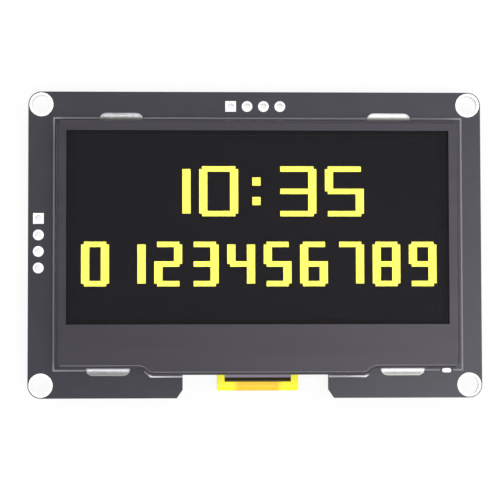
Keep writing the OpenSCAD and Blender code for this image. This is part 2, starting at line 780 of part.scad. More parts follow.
terminal_w = 1.2; // width of an inductor terminal
module inductor_terminals() {
    color("silver") on_back(0, row_y) for (s = [-1, 1])
        translate([s * (coil_w - terminal_w) / 2, 0, 0]) slab(terminal_w, coil_w - 0.4, terminal_t);
}

module boost_chip() {
    color([0.12, 0.12, 0.12]) on_back(boost_x, row_y) translate([0, 0, chip_lift])
        moulded(boost_w, chip_l, chip_h);
}

BOOST_LEADS = [-lead_pitch, 0, lead_pitch];
module boost_chip_leads() {
    color("silver") on_back(boost_x, row_y) gull_leads(boost_w, BOOST_LEADS, BOOST_LEADS, chip_h, lead_w);
}

module regulator() {
    color([0.12, 0.12, 0.12]) on_back(regulator_x, row_y) translate([0, 0, chip_lift])
        moulded(regulator_w, chip_l, chip_h);
}

REGULATOR_LEADS = [-lead_pitch, lead_pitch];
module regulator_leads() {
    color("silver") on_back(regulator_x, row_y) gull_leads(regulator_w, [0], REGULATOR_LEADS, chip_h, lead_w);
}

module diode() {
    color([0.12, 0.12, 0.12]) on_back(diode_x, row_y) translate([0, 0, chip_lift])
        moulded(diode_l, diode_w, chip_h);
}

module diode_leads() {
    color("silver") on_back(diode_x, row_y) gull_leads(diode_l, [0], [0], chip_h, diode_lead_w);
}

module at_bulk() {
    for (s = [-1, 1]) on_back(s * bulk_x, bulk_y, 90 - s * 90) children();
}

module bulk_capacitors() {
    color([0.85, 0.6, 0.15]) at_bulk() translate([0, 0, 2 * terminal_t])
        moulded(bulk_l, bulk_w, bulk_h - 2 * terminal_t);
}

// A terminal runs under each end and up to the parting line.
bulk_terminal_w = 2.2;
bulk_foot = 0.7;
module bulk_leads() {
    color("silver") at_bulk() for (a = [0, 180]) rotate([0, 0, a])
        translate([bulk_l / 2 + terminal_t / 2 - lead_r - bulk_foot, bulk_terminal_w / 2, terminal_t / 2])
            rotate([90, 0, 0]) bent_strip([
                [bulk_foot, lead_r, 90], [(bulk_h + 2 * terminal_t) / 2 - lead_r, 0, 0]
            ], terminal_t, bulk_terminal_w);
}

// Ceramic middle of a chip part, given as its list of sizes.
module chip_middle(part) {
    translate([0, 0, skin_t]) slab(part[0] - 2 * part[3], part[1] - 2 * skin_t, part[2] - 2 * skin_t);
}

module chip_ends(part) {
    for (s = [-1, 1]) translate([s * (part[0] - part[3]) / 2, 0, 0]) slab(part[3], part[1], part[2]);
}

module chip_pads(part) {
    for (s = [-1, 1]) translate([s * (part[0] - part[3]) / 2, 0, -solder_t])
        slab(part[3] + 2 * pad_margin, part[1] + pad_margin, solder_t);
}

// Stands its children upright on the back at each place of a list.
module at_places(places) {
    for (p = places) on_back(p[0], p[1], 90) children();
}

module small_capacitors() {
    color([0.66, 0.5, 0.34]) at_places(SMALL_CAPACITORS) chip_middle(SMALL_CAPACITOR);
}

module small_capacitor_ends() {
    color("silver") at_places(SMALL_CAPACITORS) chip_ends(SMALL_CAPACITOR);
}

module large_capacitors() {
    color([0.62, 0.46, 0.3]) at_places(LARGE_CAPACITORS) chip_middle(LARGE_CAPACITOR);
}

module large_capacitor_ends() {
    color("silver") at_places(LARGE_CAPACITORS) chip_ends(LARGE_CAPACITOR);
}

module resistors() {
    color("whitesmoke") at_places(RESISTORS) chip_middle(RESISTOR);
}

module resistor_ends() {
    color("silver") at_places(RESISTORS) chip_ends(RESISTOR);
}

module resistor_coats() {
    color([0.08, 0.08, 0.09]) at_places(RESISTORS) translate([0, 0, RESISTOR[2] - skin_t])
        slab(RESISTOR[0] - 2 * RESISTOR[3], RESISTOR[1] - 0.1, coat_t);
}

// Solder between the board and every terminal. It shows all round each terminal.
module part_solder() {
    color("gainsboro") {
        on_back(0, row_y) for (s = [-1, 1]) translate([s * (coil_w - terminal_w) / 2, 0, -solder_t])
            slab(terminal_w + 2 * pad_margin, coil_w - 0.4 + pad_margin, solder_t);
        on_back(boost_x, row_y) lead_pads(boost_w, BOOST_LEADS, BOOST_LEADS, lead_w);
        on_back(regulator_x, row_y) lead_pads(regulator_w, [0], REGULATOR_LEADS, lead_w);
        on_back(diode_x, row_y) lead_pads(diode_l, [0], [0], diode_lead_w);
        at_bulk() for (s = [-1, 1]) translate([s * (bulk_l - bulk_foot) / 2, 0, -solder_t])
            slab(bulk_foot + 3 * pad_margin, bulk_terminal_w + pad_margin, solder_t);
        at_places(SMALL_CAPACITORS) chip_pads(SMALL_CAPACITOR);
        at_places(LARGE_CAPACITORS) chip_pads(LARGE_CAPACITOR);
        at_places(RESISTORS) chip_pads(RESISTOR);
    }
}

// White printed outline on the back, round a part that is w wide and h deep.
module print_frame(x, y, w, h) {
    inner = [w + 2 * print_gap, h + 2 * print_gap];
    on_back(x, y) translate([0, 0, -solder_t]) difference() {
        slab(inner[0] + 2 * print_w, inner[1] + 2 * print_w, print_t);
        translate([0, 0, -cut]) slab(inner[0], inner[1], print_t + 2 * cut);
    }
}

// Printed outline on the front, round the display. Its middle lies a little beside the bezel's.
front_line_w = 0.25;
front_line_gap = [0.55, 0.6, 0.32, 0.28]; // from the bezel's sides, top, bottom and foot to the line's middle
front_line_x = display_x + 0.15;
line_to_slot = 0.1; // from the line's ends to the rim of a slot
line_to_pad = 0.35; // from the line's ends to the test pad
module line_path(out) {
    x = bezel_w / 2 + front_line_gap[0] + out;
    top = bezel_top + front_line_gap[1] + out;
    bottom = bezel_bottom - front_line_gap[2] - out;
    foot = bezel_foot - front_line_gap[3] - out;
    polygon([
        [-x, top], [x, top], [x, bottom], [step_end - 0.6 + out, bottom], [step_start + 0.5 + out, foot],
        [-step_start - 0.5 - out, foot], [0.6 - step_end - out, bottom], [-x, bottom]
    ]);
}

// The line is left out between each slot of the bottom wall and the step beside it.
module line_breaks() {
    room = 2 * (slot_rim_w + line_to_slot);
    at_slots() stadium(slot_l + room, slot_w + room);
    for (s = [-1, 1]) translate([s * bottom_tab_x, 0])
        mirror([s < 0 ? 1 : 0, 0]) translate([step_x - bottom_tab_x, bottom_slot_y - slot_w / 2])
            square([bottom_tab_x - step_x, slot_w]);
    translate([test_pad_x, test_pad_y]) stadium(test_pad_l + 2 * line_to_pad, test_pad_w + 2 * line_to_pad);
}

module front_line() {
    translate([0, 0, z_top]) linear_extrude(print_t) difference() {
        intersection() {
            board_outline();
            translate([front_line_x, 0]) difference() {
                line_path(front_line_w / 2);
                line_path(-front_line_w / 2);
            }
        }
        line_breaks();
    }
}

module board_print() {
    color("white") {
        front_line();
        print_frame(0, row_y, coil_w + pad_margin, coil_w);
        for (s = [-1, 1]) print_frame(s * bulk_x, bulk_y, bulk_l + 0.5, bulk_w);
        print_frame(diode_x, row_y, diode_l + 2 * lead_span + pad_margin, diode_w);
        print_frame(boost_x, row_y, boost_w + 2 * lead_span + pad_margin, chip_l);
        print_frame(regulator_x, row_y, regulator_w + 2 * lead_span + pad_margin, chip_l);
    }
}

// Small tinned pad with round ends, beside the bezel's bottom wall near its right corner.
test_pad_l = 1.4;
test_pad_w = 0.65;
test_pad_gap = 2.7; // from the rim of the slot beside it
test_pad_x = bottom_tab_x + slot_l / 2 + slot_rim_w + test_pad_gap + test_pad_l / 2;
test_pad_y = bezel_bottom - test_pad_w / 2 - 0.06;
module test_pad() {
    color("silver") translate([test_pad_x, test_pad_y, z_top]) linear_extrude(plating_t)
        stadium(test_pad_l, test_pad_w);
}

// ---- Assembly ----

// The display's own parts stand a little beside the board's centre.
module at_display() {
    translate([display_x, 0, 0]) children();
}

circuit_board();
mounting_rings();
top_header_pads();
side_header_pads();
slot_rims();
at_display() bezel();
tab_solder();
at_display() polariser();
at_display() front_glass();
at_display() lit_dots();
at_display() pixel_layer();
at_display() edge_seal();
at_display() desiccant();
at_display() rear_glass();
at_display() foam_pad();
at_display() driver_chip();
at_display() bond_strip();
at_display() flex_tail();
at_display() flex_mask();
at_display() flex_copper();
at_display() flex_fingers();
at_display() flex_pads();
inductor_core();
inductor_winding();
inductor_terminals();
boost_chip();
boost_chip_leads();
regulator();
regulator_leads();
diode();
diode_leads();
bulk_capacitors();
bulk_leads();
small_capacitors();
small_capacitor_ends();
large_capacitors();
large_capacitor_ends();
resistors();
resistor_ends();
resistor_coats();
part_solder();
board_print();
test_pad();
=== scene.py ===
"""Small OLED module: finishes, fine trim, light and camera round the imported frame."""

import math

import bmesh
import bpy
from mathutils import Euler, Matrix, Vector


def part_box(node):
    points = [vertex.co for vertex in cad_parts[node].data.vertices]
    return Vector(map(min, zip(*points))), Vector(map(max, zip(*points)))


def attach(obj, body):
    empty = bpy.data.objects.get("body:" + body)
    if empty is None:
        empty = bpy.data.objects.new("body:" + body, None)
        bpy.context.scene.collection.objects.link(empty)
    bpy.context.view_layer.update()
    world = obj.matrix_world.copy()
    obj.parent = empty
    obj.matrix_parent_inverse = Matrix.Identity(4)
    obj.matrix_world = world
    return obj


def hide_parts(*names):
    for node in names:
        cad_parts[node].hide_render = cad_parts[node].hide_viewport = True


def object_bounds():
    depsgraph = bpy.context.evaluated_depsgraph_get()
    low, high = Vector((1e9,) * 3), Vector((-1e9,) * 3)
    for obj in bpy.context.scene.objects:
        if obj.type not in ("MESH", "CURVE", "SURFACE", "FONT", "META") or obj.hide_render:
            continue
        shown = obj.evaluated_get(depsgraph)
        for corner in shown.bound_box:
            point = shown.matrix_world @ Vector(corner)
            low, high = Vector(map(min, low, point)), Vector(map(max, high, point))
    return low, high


MM = 0.001

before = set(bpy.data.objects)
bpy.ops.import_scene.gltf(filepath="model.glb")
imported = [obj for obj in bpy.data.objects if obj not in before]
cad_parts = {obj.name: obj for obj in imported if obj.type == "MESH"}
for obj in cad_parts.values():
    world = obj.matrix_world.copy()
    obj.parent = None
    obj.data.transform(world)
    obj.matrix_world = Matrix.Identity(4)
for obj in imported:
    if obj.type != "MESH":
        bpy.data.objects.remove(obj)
cad_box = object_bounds()

BOARD_LOW, BOARD_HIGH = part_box("circuit_board")
FILM_LOW, FILM_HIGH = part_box("polariser")
GLASS_LOW, GLASS_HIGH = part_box("front_glass")
WALLS_Y = (GLASS_LOW.y + GLASS_HIGH.y) / 2  # midway between the bezel's top and bottom walls
WALL_OUT = 0.5 * MM  # from the glass's edge to the outside of the bezel's wall
HALF_WALLS = (GLASS_HIGH.y - GLASS_LOW.y) / 2 + WALL_OUT
FLEX_X = (FILM_LOW.x + FILM_HIGH.x) / 2
FIELD_CENTRE = (FLEX_X, (FILM_LOW.y + FILM_HIGH.y) / 2)
MASK_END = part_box("flex_mask")[0].y
BEZEL_FOOT = MASK_END + 0.8 * MM

PATCH_RANGE = (0.3, 0.7)  # the part of a noise pattern that carries its patches
GRAIN = 0.0015 * MM  # heights of the finishes' relief
FINE = 0.004 * MM
COARSE = 0.006 * MM
LOW_INDEX = 1.12  # refractive index of the layers that mirror little


# ---- Node helpers ----


class Finish:
    """One material with its shader nodes, placed by short calls."""

    def __init__(self, name, color, roughness, **values):
        self.material = bpy.data.materials.new(name)
        self.material.use_nodes = True
        self.tree = self.material.node_tree
        self.tree.nodes.clear()
        self.output = self.node("ShaderNodeOutputMaterial")
        self.shader = self.node("ShaderNodeBsdfPrincipled")
        self.shader.inputs["Base Color"].default_value = (*color, 1)
        self.shader.inputs["Roughness"].default_value = roughness
        for key, value in values.items():
            self.shader.inputs[key.replace("_", " ")].default_value = value
        self.link(self.shader.outputs[0], self.output.inputs["Surface"])
        self.coords = None

    def node(self, kind, **settings):
        made = self.tree.nodes.new(kind)
        for key, value in settings.items():
            if key in made.inputs:
                made.inputs[key].default_value = value
            else:
                setattr(made, key, value)
        return made

    def link(self, a, b):
        self.tree.links.new(a, b)

    def place(self, scale=(1, 1, 1)):
        """Object coordinates, stretched by scale."""
        if self.coords is None:
            self.coords = self.node("ShaderNodeTexCoord")
        mapping = self.node("ShaderNodeMapping", Scale=scale)
        self.link(self.coords.outputs["Object"], mapping.inputs["Vector"])
        return mapping.outputs["Vector"]

    def noise(self, scale, detail, stretch=(1, 1, 1)):
        made = self.node("ShaderNodeTexNoise", Scale=scale, Detail=detail)
        self.link(self.place(stretch), made.inputs["Vector"])
        return made.outputs["Fac"]

    def patches(self, scale, detail, low=0.0, high=1.0, stretch=(1, 1, 1)):
        """Noise drawn out into patches that run from low to high."""
        return self.ramp(self.noise(scale, detail, stretch), *PATCH_RANGE, low, high)

    def away(self, axis, middle):
        """Distance from a plane across one axis."""
        return self.math("ABSOLUTE", self.math("SUBTRACT", self.axis(axis), middle))

    def axis(self, name):
        """One of the object coordinates, X, Y or Z, in metres."""
        split = self.node("ShaderNodeSeparateXYZ")
        self.link(self.place(), split.inputs[0])
        return split.outputs[name]

    def facing(self, name):
        """One component of the surface's own direction."""
        if self.coords is None:
            self.coords = self.node("ShaderNodeTexCoord")
        split = self.node("ShaderNodeSeparateXYZ")
        self.link(self.coords.outputs["Normal"], split.inputs[0])
        return split.outputs[name]

    def math(self, operation, a, b=0.0):
        made = self.node("ShaderNodeMath", operation=operation)
        for i, value in enumerate((a, b)):
            if isinstance(value, (int, float)):
                made.inputs[i].default_value = value
            else:
                self.link(value, made.inputs[i])
        return made.outputs[0]

    def ramp(self, value, low, high, out_low=0.0, out_high=1.0):
        made = self.node("ShaderNodeMapRange", clamp=True)
        self.link(value, made.inputs["Value"])
        for key, number in (
            ("From Min", low), ("From Max", high), ("To Min", out_low), ("To Max", out_high),
        ):
            made.inputs[key].default_value = number
        return made.outputs["Result"]

    def blend(self, value, a, b):
        """Colour a where value is 0 and colour b where it is 1."""
        made = self.node("ShaderNodeMix", data_type="RGBA")
        self.link(value, made.inputs[0])
        for i, color in ((6, a), (7, b)):
            if isinstance(color, tuple):
                made.inputs[i].default_value = (*color, 1)
            else:
                self.link(color, made.inputs[i])
        return made.outputs[2]

    def color(self, socket):
        self.link(socket, self.shader.inputs["Base Color"])

    def roughness(self, socket):
        self.link(socket, self.shader.inputs["Roughness"])

    def bump(self, height, distance):
        made = self.node("ShaderNodeBump", Strength=1.0, Distance=distance)
        self.link(height, made.inputs["Height"])
        self.link(made.outputs[0], self.shader.inputs["Normal"])

    def see_through(self, solid):
        """Lets what is behind show, with solid as the share that each face keeps."""
        clear = self.node("ShaderNodeBsdfTransparent", Color=(1, 1, 1, 1))
        mix = self.node("ShaderNodeMixShader")
        mix.inputs[0].default_value = solid
        self.link(clear.outputs[0], mix.inputs[1])
        self.link(self.shader.outputs[0], mix.inputs[2])
        self.link(mix.outputs[0], self.output.inputs["Surface"])


# ---- Finishes ----


def solder_mask():
    """Glossy black mask on top and underneath; bare glass-fibre laminate on the cut edges."""
    f = Finish("solder mask", (0.034, 0.034, 0.04), 0.3)
    cloud = f.patches(220, 4)
    mask = f.blend(cloud, (0.0285, 0.0268, 0.0375), (0.0352, 0.0332, 0.0442))
    layers = f.ramp(f.noise(900, 2, (0.15, 0.15, 6)), 0.4, 0.65)
    laminate = f.blend(layers, (0.035, 0.03, 0.02), (0.1, 0.085, 0.055))
    flat = f.ramp(f.math("ABSOLUTE", f.facing("Z")), 0.5, 0.9)
    f.color(f.blend(flat, laminate, mask))
    f.roughness(f.ramp(flat, 0, 1, 0.75, 0.2))
    f.bump(f.noise(1800, 3), FINE)
    return f.material


def black_coat():
    """Thin semi-gloss coating on the bezel's steel, with a fine grain."""
    f = Finish("black coat", (0.032, 0.031, 0.036), 0.32)
    grain = f.noise(5200, 3)
    wide = f.patches(260, 4, stretch=(0.1, 1, 1))
    f.color(f.blend(wide, (0.0268, 0.0232, 0.0328), (0.0352, 0.0312, 0.0418)))
    f.roughness(f.ramp(grain, 0.2, 0.8, 0.19, 0.26))
    f.bump(grain, GRAIN)
    return f.material


def tin(name="tinned copper", tone=0.97, roughness=0.42, metal=0.4):
    """Pale tinned copper or solder, faintly cloudy."""
    f = Finish(name, (tone, tone, tone * 0.985), roughness, Metallic=metal)
    cloud = f.patches(900, 4)
    f.color(f.blend(cloud, (tone * 0.92, tone * 0.92, tone * 0.91), (tone, tone, tone * 0.99)))
    f.roughness(f.ramp(cloud, 0, 1, roughness * 0.8, roughness * 1.25))
    f.bump(f.noise(2600, 2), COARSE)
    return f.material


def slot_solder():
    """Solder in the board's slots, with painted light and shade: paler to the right where the light comes
    from, a dark brown painted shadow next to the bezel's wall in the upper slots, painted shade next to the
    wall in the lower ones, and duller towards the lower slots' outer rims.
    """
    f = Finish("slot solder", (0.7, 0.7, 0.7), 0.35, Metallic=0.5)
    outside = f.away("Y", WALLS_Y)
    upper = f.ramp(f.axis("Y"), WALLS_Y - 1 * MM, WALLS_Y + 1 * MM)
    right = f.ramp(f.axis("X"), -20 * MM, 20 * MM)
    cloud = f.patches(1100, 4)
    # painted light and shade: the solder is paler to the right, where the light comes from, and darker to the
    # left
    painted_shade_left = f.blend(cloud, (0.35, 0.35, 0.36), (0.52, 0.52, 0.52))
    painted_light_right = f.blend(cloud, (0.6, 0.6, 0.585), (0.75, 0.75, 0.73))
    bright = f.blend(right, painted_shade_left, painted_light_right)
    rim_tone = f.blend(right, (0.24, 0.24, 0.235), (0.4, 0.39, 0.36))
    rise = f.ramp(outside, HALF_WALLS + 0.3 * MM, HALF_WALLS + 0.9 * MM)
    near = f.ramp(outside, HALF_WALLS + 0.1 * MM, HALF_WALLS + 0.35 * MM)
    fall = f.ramp(outside, HALF_WALLS + 0.6 * MM, HALF_WALLS + 1.1 * MM)
    # painted shadow: dark brown solder next to the bezel's wall in the upper slots, where the wall shades it
    over = f.blend(rise, (0.06, 0.047, 0.038), bright)
    # painted shade: darker grey solder next to the wall in the lower slots; it also dulls towards their outer
    # rims
    under = f.blend(near, (0.25, 0.25, 0.27), f.blend(fall, bright, rim_tone))
    front = f.ramp(f.axis("Z"), BOARD_HIGH.z - 1.0 * MM, BOARD_HIGH.z - 0.5 * MM)
    f.color(f.blend(front, bright, f.blend(upper, under, over)))
    f.roughness(f.ramp(cloud, 0, 1, 0.28, 0.42))
    f.bump(f.noise(2200, 2), COARSE)
    return f.material


def dark_film():
    """Neutral polarising film: it dims what is under it and mirrors little."""
    f = Finish("dark film", (0.018, 0.0145, 0.0185), 0.25, IOR=LOW_INDEX)
    f.color(f.blend(f.noise(500, 3), (0.0165, 0.013, 0.0168), (0.0195, 0.0158, 0.0198)))
    f.roughness(f.patches(3000, 2, 0.22, 0.3))
    f.see_through(0.38)
    return f.material


def clear_glass():
    """Clear panel glass."""
    f = Finish("clear glass", (0.2, 0.24, 0.235), 0.03, IOR=1.5)
    f.roughness(f.patches(400, 2, 0.02, 0.04))
    f.see_through(0.05)
    return f.material


def frosted_glass():
    """Etched rear glass, blackened where it faces the screen's front."""
    f = Finish("etched glass", (0.42, 0.45, 0.45), 0.45, IOR=LOW_INDEX)
    etched = f.blend(f.noise(2400, 3), (0.36, 0.39, 0.39), (0.5, 0.53, 0.52))
    upward = f.ramp(f.facing("Z"), 0.5, 0.9)
    f.color(f.blend(upward, etched, (0.012, 0.012, 0.014)))
    f.see_through(0.8)
    return f.material


DOT_PITCH = 0.43 * MM
DOT_GAP = 0.03 * MM
GAP_SHARE = DOT_GAP / DOT_PITCH
LIT = (1, 0.98, 0.12)
LIT_GAP = (0.45, 0.42, 0.04)
LIT_STRENGTH = 3.4


def dot_grid(f):
    """1 on a dot and 0 in the gap between two dots."""
    shares = []
    for name, middle in zip("XY", FIELD_CENTRE):
        cell = f.math("DIVIDE", f.math("SUBTRACT", f.axis(name), middle), DOT_PITCH)
        place = f.math("ABSOLUTE", f.math("SUBTRACT", f.math("FRACT", cell), 0.5))
        shares.append(f.ramp(place, 0.5 - GAP_SHARE, 0.5 - 0.6 * GAP_SHARE, 1, 0))
    return f.math("MULTIPLY", *shares)


def lit_yellow():
    """Glowing dots, dimmer in the gaps between them."""
    f = Finish("lit yellow", (0.2, 0.18, 0.01), 0.4)
    f.shader.inputs["Emission Color"].default_value = (*LIT, 1)
    f.shader.inputs["Emission Strength"].default_value = LIT_STRENGTH
    f.link(f.blend(dot_grid(f), LIT_GAP, LIT), f.shader.inputs["Emission Color"])
    return f.material


def dark_layer():
    """Unlit dots, just told from the gaps between them."""
    f = Finish("dark layer", (0.012, 0.012, 0.014), 0.35, IOR=LOW_INDEX)
    f.color(f.blend(dot_grid(f), (0.006, 0.006, 0.008), (0.014, 0.013, 0.016)))
    return f.material


def plain(name, color, roughness, spread=0.12, scale=900, **values):
    """A dull moulded or printed finish with a little mottling."""
    f = Finish(name, color, roughness, **values)
    low = tuple(c * (1 - spread) for c in color)
    high = tuple(min(1, c * (1 + spread)) for c in color)
    mottle = f.noise(scale, 4)
    f.color(f.blend(f.ramp(mottle, *PATCH_RANGE), low, high))
    f.bump(mottle, COARSE)
    return f.material


AMBER = (1.0, 0.97, 0.03)
MASK_BLACK = (0.026, 0.019, 0.003)
FILM_INDEX = 1.35
TRACE_PITCH = 0.5 * MM


def amber_film():
    """Translucent polyimide, yellow where it is clear."""
    f = Finish("amber film", AMBER, 0.35, IOR=FILM_INDEX)
    f.color(f.blend(f.noise(700, 3), AMBER, (0.97, 0.9, 0.028)))
    f.roughness(f.patches(1500, 2, 0.3, 0.42))
    return f.material


def copper_under_film():
    """Fine copper traces under the film, a trace to each contact finger; the outer lanes are clear."""
    f = Finish("copper under film", (0.9, 0.55, 0.03), 0.35, IOR=FILM_INDEX)
    across = f.math("SUBTRACT", f.axis("X"), FLEX_X)
    lane = f.math("FRACT", f.math("DIVIDE", across, TRACE_PITCH))
    trace = f.ramp(f.math("ABSOLUTE", f.math("SUBTRACT", lane, 0.5)), 0.12, 0.3)
    field = f.ramp(f.math("ABSOLUTE", across), 2.9 * MM, 3.9 * MM, 1, 0)
    copper = f.blend(trace, (0.95, 0.63, 0.03), (0.93, 0.585, 0.025))
    shelf = f.ramp(f.axis("Z"), BOARD_HIGH.z - 0.36 * MM, BOARD_HIGH.z - 0.3 * MM)
    mask = f.ramp(f.axis("Y"), MASK_END - 0.34 * MM, MASK_END - 0.2 * MM)
    mask = f.math("MULTIPLY", mask, shelf)
    f.color(f.blend(mask, f.blend(field, AMBER, copper), MASK_BLACK))
    return f.material


def flex_mask():
    """Black mask with a painted lilac grey highlight along its upper edge, next to the bezel."""
    f = Finish("flex mask", MASK_BLACK, 0.5, IOR=1.08)
    # painted highlight: lilac grey where the mask's upper edge catches the light
    painted_sheen_band = f.ramp(f.axis("Y"), MASK_END + 0.33 * MM, MASK_END + 0.43 * MM)
    f.color(f.blend(painted_sheen_band, MASK_BLACK, (0.28, 0.245, 0.32)))
    f.roughness(f.patches(1500, 2, 0.4, 0.55))
    return f.material


def board_print():
    """White print; the line round the display is narrow, darkened by painted shade where the bezel's wall
    shades it, and whitest by painted light along the bottom of the bezel, most towards its outer ends.
    """
    f = Finish("board print", (0.8, 0.8, 0.8), 0.6)
    front = f.ramp(f.axis("Z"), BOARD_LOW.z + 0.4 * MM, BOARD_HIGH.z - 0.4 * MM)
    painted_light_band = f.ramp(f.axis("Y"), BEZEL_FOOT - 0.2 * MM, BEZEL_FOOT, 1, 0)
    painted_light_outer = f.ramp(f.away("X", FLEX_X), 13 * MM, 16.5 * MM)
    # painted shade and light: the outline print is dim where the bezel shades it, paler in the band along the
    # bezel's lower edge, and palest towards the outer ends of that band
    line = f.blend(painted_light_band, (0.24, 0.225, 0.25), f.blend(painted_light_outer, (0.48, 0.46, 0.5), (0.85, 0.84, 0.86)))
    worn = f.patches(700, 4, 0.75, 1.0)
    back = f.blend(worn, (0.6, 0.6, 0.6), (0.8, 0.8, 0.8))
    f.color(f.blend(front, back, line))
    f.bump(f.noise(2400, 2), FINE)
    return f.material


def epoxy():
    """Black moulded epoxy of the chips' bodies."""
    return plain("moulded epoxy", (0.02, 0.02, 0.021), 0.55)


def dress(materials):
    """Puts each material on every slot of its CAD pieces."""
    for material, nodes in materials:
        for name in nodes:
            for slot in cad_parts[name].material_slots:
                slot.material = material


TIN = tin()
SOLDER = tin("solder", 0.93, 0.3, 0.6)
dress([
    (solder_mask(), ["circuit_board"]),
    (black_coat(), ["bezel"]),
    (TIN, [
        "mounting_rings", "top_header_pads", "side_header_pads", "flex_fingers", "flex_pads",
        "inductor_terminals", "boost_chip_leads", "regulator_leads", "diode_leads", "bulk_leads",
        "small_capacitor_ends", "large_capacitor_ends", "resistor_ends", "test_pad",
    ]),
    (slot_solder(), ["tab_solder", "slot_rims"]),
    (SOLDER, ["part_solder"]),
    (dark_film(), ["polariser"]),
    (clear_glass(), ["front_glass"]),
    (frosted_glass(), ["rear_glass"]),
    (lit_yellow(), ["lit_dots"]),
    (dark_layer(), ["pixel_layer"]),
    (plain("seal", (0.12, 0.12, 0.12), 0.6), ["edge_seal"]),
    (plain("desiccant", (0.75, 0.75, 0.72), 0.9), ["desiccant"]),
    (plain("foam", (0.03, 0.03, 0.03), 0.95, 0.4, 3000), ["foam_pad"]),
    (plain("silicon", (0.05, 0.05, 0.06), 0.15, 0.1), ["driver_chip"]),
    (plain("bonding film", (0.5, 0.45, 0.3), 0.6), ["bond_strip"]),
    (amber_film(), ["flex_tail"]),
    (copper_under_film(), ["flex_copper"]),
    (flex_mask(), ["flex_mask"]),
    (plain("ferrite", (0.055, 0.055, 0.06), 0.8, 0.2, 2500), ["inductor_core"]),
    (plain("enamelled wire", (0.4, 0.12, 0.03), 0.3), ["inductor_winding"]),
    (epoxy(), ["boost_chip", "regulator", "diode"]),
    (plain("ochre epoxy", (0.72, 0.4, 0.04), 0.5), ["bulk_capacitors"]),
    (plain("brown ceramic", (0.34, 0.21, 0.11), 0.6), ["small_capacitors", "large_capacitors"]),
    (plain("alumina", (0.8, 0.8, 0.77), 0.6), ["resistors"]),
    (plain("resistor glaze", (0.012, 0.012, 0.014), 0.25), ["resistor_coats"]),
    (board_print(), ["board_print"]),
])


# ---- New pieces ----

MERGE = 0.0005 * MM  # distance within which a copied mesh's corners are one
DOT_DROP = 0.004 * MM
TRACK_RISE = 0.05 * MM  # how far copper under the mask stands out
FINE_RADIUS = 0.16 * MM
POWER_RADIUS = 0.25 * MM
VIA_RADIUS = 0.32 * MM
VIA_RISE = 0.12  # a via's height as a share of its radius
PAD_EDGE = 0.72 * MM  # from a header pad's centre to where its track starts, clear of the hole
BUS_START = 1.6 * MM  # from the flex pads' centres to the bus's first track
BUS_COLUMN = 1.5 * MM  # from the resistors to the bus's first upright track
BUS_PITCH = 0.35 * MM
BUS_CORNER = 0.5 * MM
STUB = 1.1 * MM  # from a small capacitor's upper end towards its via
VIA_PAST = 0.1 * MM  # from a stub's end to its via's centre
STITCH_PITCH = 10 * MM
STITCH_ROWS = ((5 * MM, 40.15 * MM), (8 * MM, 16.15 * MM))  # first via of a row, from the board's corner
STITCHES = 7


def merged_copy(name):
    """A bmesh copy of a CAD piece, with its loose triangles joined."""
    shape = bmesh.new()
    shape.from_mesh(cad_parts[name].data)
    bmesh.ops.remove_doubles(shape, verts=shape.verts, dist=MERGE)
    return shape


def show(name, mesh, materials):
    """Puts a new piece in the scene; it rides on the part and takes its finish from slot."""
    mesh.materials.clear()
    for material in materials:
        mesh.materials.append(material)
    piece = bpy.data.objects.new(name, mesh)
    bpy.context.scene.collection.objects.link(piece)
    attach(piece, "root")
    return piece


def finished(name, shape):
    """The mesh of a bmesh, which is freed."""
    mesh = bpy.data.meshes.new(name)
    shape.to_mesh(mesh)
    shape.free()
    return mesh


def lower_lit_dots():
    """The lit dots a hair lower, so that their tops don't fight with the glass that they lie under."""
    shape = merged_copy("lit_dots")
    bmesh.ops.translate(shape, verts=shape.verts, vec=(0, 0, -DOT_DROP))
    materials = [slot.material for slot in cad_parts["lit_dots"].material_slots]
    piece = show("lit_dots_lowered", finished("lit_dots_lowered", shape), materials)
    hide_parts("lit_dots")


def islands(name):
    """Centre of each separate solid of a CAD piece, from left to right."""
    shape = merged_copy(name)
    left = set(shape.verts)
    centres = []
    while left:
        todo = [left.pop()]
        low = todo[0].co.copy()
        high = todo[0].co.copy()
        while todo:
            vert = todo.pop()
            low = Vector(map(min, low, vert.co))
            high = Vector(map(max, high, vert.co))
            for edge in vert.link_edges:
                other = edge.other_vert(vert)
                if other in left:
                    left.remove(other)
                    todo.append(other)
        centres.append((low + high) / 2)
    shape.free()
    return sorted(centres, key=lambda c: (c.x, c.y))


def upper_left(name):
    """The highest solid in a CAD piece's left half."""
    centres = islands(name)
    middle = sum(c.x for c in centres) / len(centres)
    return max((c for c in centres if c.x < middle), key=lambda c: c.y)


def elbow(a, b):
    """A track from pad a to b: it starts at the pad's edge, runs straight, then turns by 45 degrees."""
    dx, dy = b[0] - a[0], b[1] - a[1]
    if abs(dy) > abs(dx):
        a = (a[0], a[1] + math.copysign(PAD_EDGE, dy))
    else:
        a = (a[0] + math.copysign(PAD_EDGE, dx), a[1])
    dx, dy = b[0] - a[0], b[1] - a[1]
    if abs(dy) > abs(dx):
        return [a, (a[0], b[1] - math.copysign(abs(dx), dy)), b]
    return [a, (b[0] - math.copysign(abs(dy), dx), a[1]), b]


def tracks(name, paths, radius, material):
    """Round-shouldered tracks, sunk in the board's back so that only their crowns show."""
    curve = bpy.data.curves.new(name, "CURVE")
    curve.dimensions = "3D"
    curve.bevel_depth = radius
    curve.bevel_resolution = 3
    curve.use_fill_caps = True
    depth = BOARD_LOW.z + radius - TRACK_RISE
    for path in paths:
        spline = curve.splines.new("POLY")
        spline.points.add(len(path) - 1)
        for point, (x, y) in zip(spline.points, path):
            point.co = (x, y, depth, 1)
    bent = bpy.data.objects.new(name + "_path", curve)
    mesh = bpy.data.meshes.new_from_object(bent)
    bpy.data.objects.remove(bent)
    show(name, mesh, [material])


